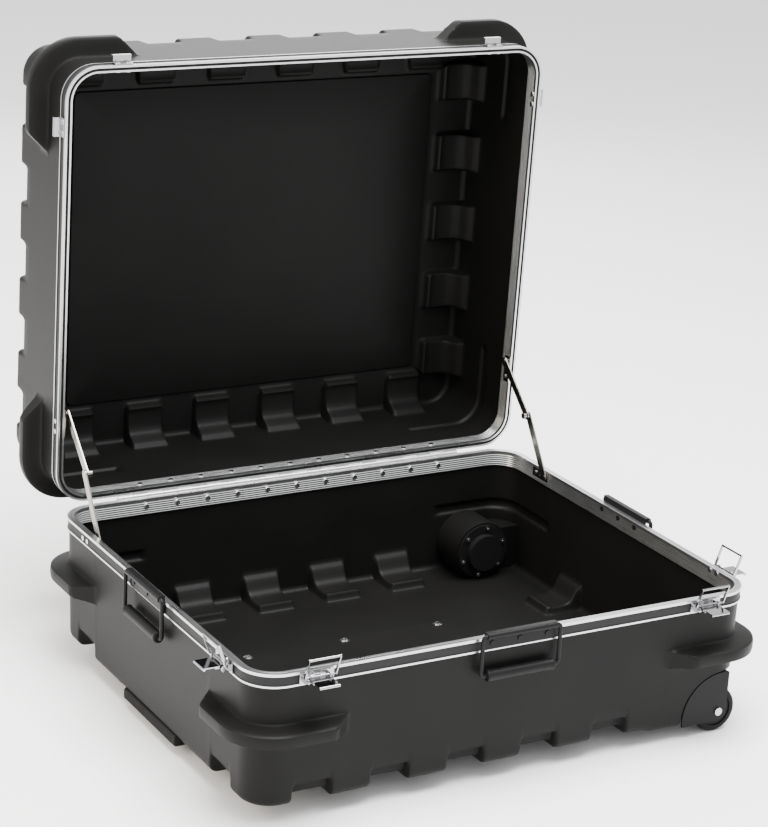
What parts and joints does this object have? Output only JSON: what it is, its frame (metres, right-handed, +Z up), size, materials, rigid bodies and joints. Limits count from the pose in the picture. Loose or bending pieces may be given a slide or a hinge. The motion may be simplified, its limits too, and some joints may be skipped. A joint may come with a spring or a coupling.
{
  "type": "wheeled transit case",
  "caption": "Open moulded equipment transit case with hinged lid, aluminium rims, corner bumpers, draw latches, bail handles, end wheels and a sliding pull handle.",
  "frame": {"origin": "on the floor under the centre of the base, on the middle runner", "axes": "+Z up, -Y the front with two latches and a handle, +X the wheel end"},
  "size_m": [0.878, 0.8978, 0.9172],
  "materials": {
    "moulded_shell": "rotationally moulded polyethylene, fine satin",
    "rim_aluminium": "bright extruded aluminium",
    "gasket_rubber": "solid neoprene cord",
    "black_powder_coat": "black powder coat on steel",
    "grip_rubber": "moulded rubber sleeve",
    "bright_chrome": "bright plated steel",
    "tyre_rubber": "solid soft tyre",
    "black_plastic": "textured injection moulding",
    "tube_aluminium": "drawn tube",
    "black_steel": "black oxide screws",
    "plated_steel": "nickel plated steel"
  },
  "bodies": {
    "base": {"base_shell": "moulded_shell", "base_bumpers": "moulded_shell", "base_valance": "rim_aluminium", "handle_rivets": "plated_steel", "latch_rivets": "bright_chrome", "base_rivets": "plated_steel", "hinge_base_leaf": "plated_steel", "hinge_pin": "plated_steel", "front_handle_plate": "black_powder_coat", "left_handle_plate": "black_powder_coat", "right_handle_plate": "black_powder_coat", "front_left_latch_plate": "bright_chrome", "front_right_latch_plate": "bright_chrome", "left_latch_plate": "bright_chrome", "right_latch_plate": "bright_chrome", "latch_pins": "bright_chrome", "front_wheel_housing": "black_plastic", "rear_wheel_housing": "black_plastic", "wheel_axles": "plated_steel", "wheel_cups": "black_plastic", "wheel_cup_screws": "black_steel", "pull_handle_tray": "black_plastic", "pull_handle_collars": "black_plastic", "floor_screws": "black_steel", "stay_base_brackets": "plated_steel"},
    "lid": {"lid_shell": "moulded_shell", "lid_bumpers": "moulded_shell", "lid_valance": "rim_aluminium", "lid_gasket": "gasket_rubber", "hinge_lid_leaf": "plated_steel", "lid_rivets": "plated_steel", "latch_keepers": "bright_chrome", "stay_lid_brackets": "plated_steel"},
    "front_handle": {"front_handle_bail": "black_powder_coat", "front_handle_grip": "grip_rubber"},
    "left_handle": {"left_handle_bail": "black_powder_coat", "left_handle_grip": "grip_rubber"},
    "right_handle": {"right_handle_bail": "black_powder_coat", "right_handle_grip": "grip_rubber"},
    "front_left_lever": {"front_left_latch_lever": "bright_chrome"},
    "front_left_hasp": {"front_left_latch_hasp": "bright_chrome"},
    "front_right_lever": {"front_right_latch_lever": "bright_chrome"},
    "front_right_hasp": {"front_right_latch_hasp": "bright_chrome"},
    "left_lever": {"left_latch_lever": "bright_chrome"},
    "left_hasp": {"left_latch_hasp": "bright_chrome"},
    "right_lever": {"right_latch_lever": "bright_chrome"},
    "right_hasp": {"right_latch_hasp": "bright_chrome"},
    "front_wheel": {"front_wheel_core": "black_plastic", "front_wheel_tyre": "tyre_rubber"},
    "rear_wheel": {"rear_wheel_core": "black_plastic", "rear_wheel_tyre": "tyre_rubber"},
    "pull_handle": {"pull_handle_grip": "black_plastic", "pull_handle_tubes": "tube_aluminium"},
    "left_stay_lower": {"left_stay_lower_arm": "plated_steel", "left_stay_knob": "plated_steel"},
    "left_stay_upper": {"left_stay_upper_arm": "plated_steel"},
    "right_stay_lower": {"right_stay_lower_arm": "plated_steel", "right_stay_knob": "plated_steel"},
    "right_stay_upper": {"right_stay_upper_arm": "plated_steel"}
  },
  "joints": [
    {"name": "lid_hinge", "type": "hinge", "parent": "base", "child": "lid", "pos_m": [0, 0.3365, 0.2203], "axis": [1, 0, 0], "range_deg": [0, 88]},
    {"name": "front_handle_swing", "type": "hinge", "parent": "base", "child": "front_handle", "pos_m": [0, -0.3395, 0.2245], "axis": [-1, 0, 0], "range_deg": [0, 90]},
    {"name": "left_handle_swing", "type": "hinge", "parent": "base", "child": "left_handle", "pos_m": [-0.407, 0, 0.2245], "axis": [0, 1, 0], "range_deg": [0, 90]},
    {"name": "right_handle_swing", "type": "hinge", "parent": "base", "child": "right_handle", "pos_m": [0.407, 0, 0.2245], "axis": [0, -1, 0], "range_deg": [0, 90]},
    {"name": "front_left_latch_turn", "type": "hinge", "parent": "base", "child": "front_left_lever", "pos_m": [-0.311, -0.3415, 0.208], "axis": [1, 0, 0], "range_deg": [0, 90]},
    {"name": "front_left_hasp_turn", "type": "hinge", "parent": "front_left_lever", "child": "front_left_hasp", "pos_m": [-0.311, -0.34331, 0.21476], "axis": [1, 0, 0], "range_deg": [-128, 1]},
    {"name": "front_right_latch_turn", "type": "hinge", "parent": "base", "child": "front_right_lever", "pos_m": [0.311, -0.3415, 0.208], "axis": [1, 0, 0], "range_deg": [0, 90]},
    {"name": "front_right_hasp_turn", "type": "hinge", "parent": "front_right_lever", "child": "front_right_hasp", "pos_m": [0.311, -0.34331, 0.21476], "axis": [1, 0, 0], "range_deg": [-128, 1]},
    {"name": "left_latch_turn", "type": "hinge", "parent": "base", "child": "left_lever", "pos_m": [-0.409, -0.245, 0.208], "axis": [0, -1, 0], "range_deg": [0, 90]},
    {"name": "left_hasp_turn", "type": "hinge", "parent": "left_lever", "child": "left_hasp", "pos_m": [-0.41081, -0.245, 0.21476], "axis": [0, -1, 0], "range_deg": [-128, 1]},
    {"name": "right_latch_turn", "type": "hinge", "parent": "base", "child": "right_lever", "pos_m": [0.409, -0.245, 0.208], "axis": [0, 1, 0], "range_deg": [0, 90]},
    {"name": "right_hasp_turn", "type": "hinge", "parent": "right_lever", "child": "right_hasp", "pos_m": [0.41081, -0.245, 0.21476], "axis": [0, 1, 0], "range_deg": [-128, 1]},
    {"name": "front_wheel_spin", "type": "hinge", "parent": "base", "child": "front_wheel", "pos_m": [0.357, -0.3069, 0.034], "axis": [0, 1, 0], "continuous": true},
    {"name": "rear_wheel_spin", "type": "hinge", "parent": "base", "child": "rear_wheel", "pos_m": [0.357, 0.3069, 0.034], "axis": [0, 1, 0], "continuous": true},
    {"name": "pull_handle_slide", "type": "slide", "parent": "base", "child": "pull_handle", "axis": [-1, 0, 0], "range_m": [0, 0.45]},
    {"name": "left_stay_lower_fold", "type": "hinge", "parent": "base", "child": "left_stay_lower", "pos_m": [-0.386, 0.205, 0.21], "axis": [1, 0, 0], "range_deg": [-1, 158]},
    {"name": "left_stay_upper_fold", "type": "hinge", "parent": "lid", "child": "left_stay_upper", "pos_m": [-0.3824, 0.33908, 0.36698], "axis": [1, 0, 0], "range_deg": [-86, 1]},
    {"name": "right_stay_lower_fold", "type": "hinge", "parent": "base", "child": "right_stay_lower", "pos_m": [0.386, 0.205, 0.21], "axis": [1, 0, 0], "range_deg": [-1, 158]},
    {"name": "right_stay_upper_fold", "type": "hinge", "parent": "lid", "child": "right_stay_upper", "pos_m": [0.3824, 0.33908, 0.36698], "axis": [1, 0, 0], "range_deg": [-86, 1]}
  ],
  "couplings": [
    {"joint": "front_left_hasp_turn", "follows": "front_left_latch_turn", "ratio": -1.41},
    {"joint": "front_right_hasp_turn", "follows": "front_right_latch_turn", "ratio": -1.41},
    {"joint": "left_hasp_turn", "follows": "left_latch_turn", "ratio": -1.41},
    {"joint": "right_hasp_turn", "follows": "right_latch_turn", "ratio": -1.41},
    {"joint": "left_stay_lower_fold", "follows": "lid_hinge", "ratio": 1.7822},
    {"joint": "left_stay_upper_fold", "follows": "lid_hinge", "ratio": -0.95705},
    {"joint": "right_stay_lower_fold", "follows": "lid_hinge", "ratio": 1.7822},
    {"joint": "right_stay_upper_fold", "follows": "lid_hinge", "ratio": -0.95705}
  ]
}
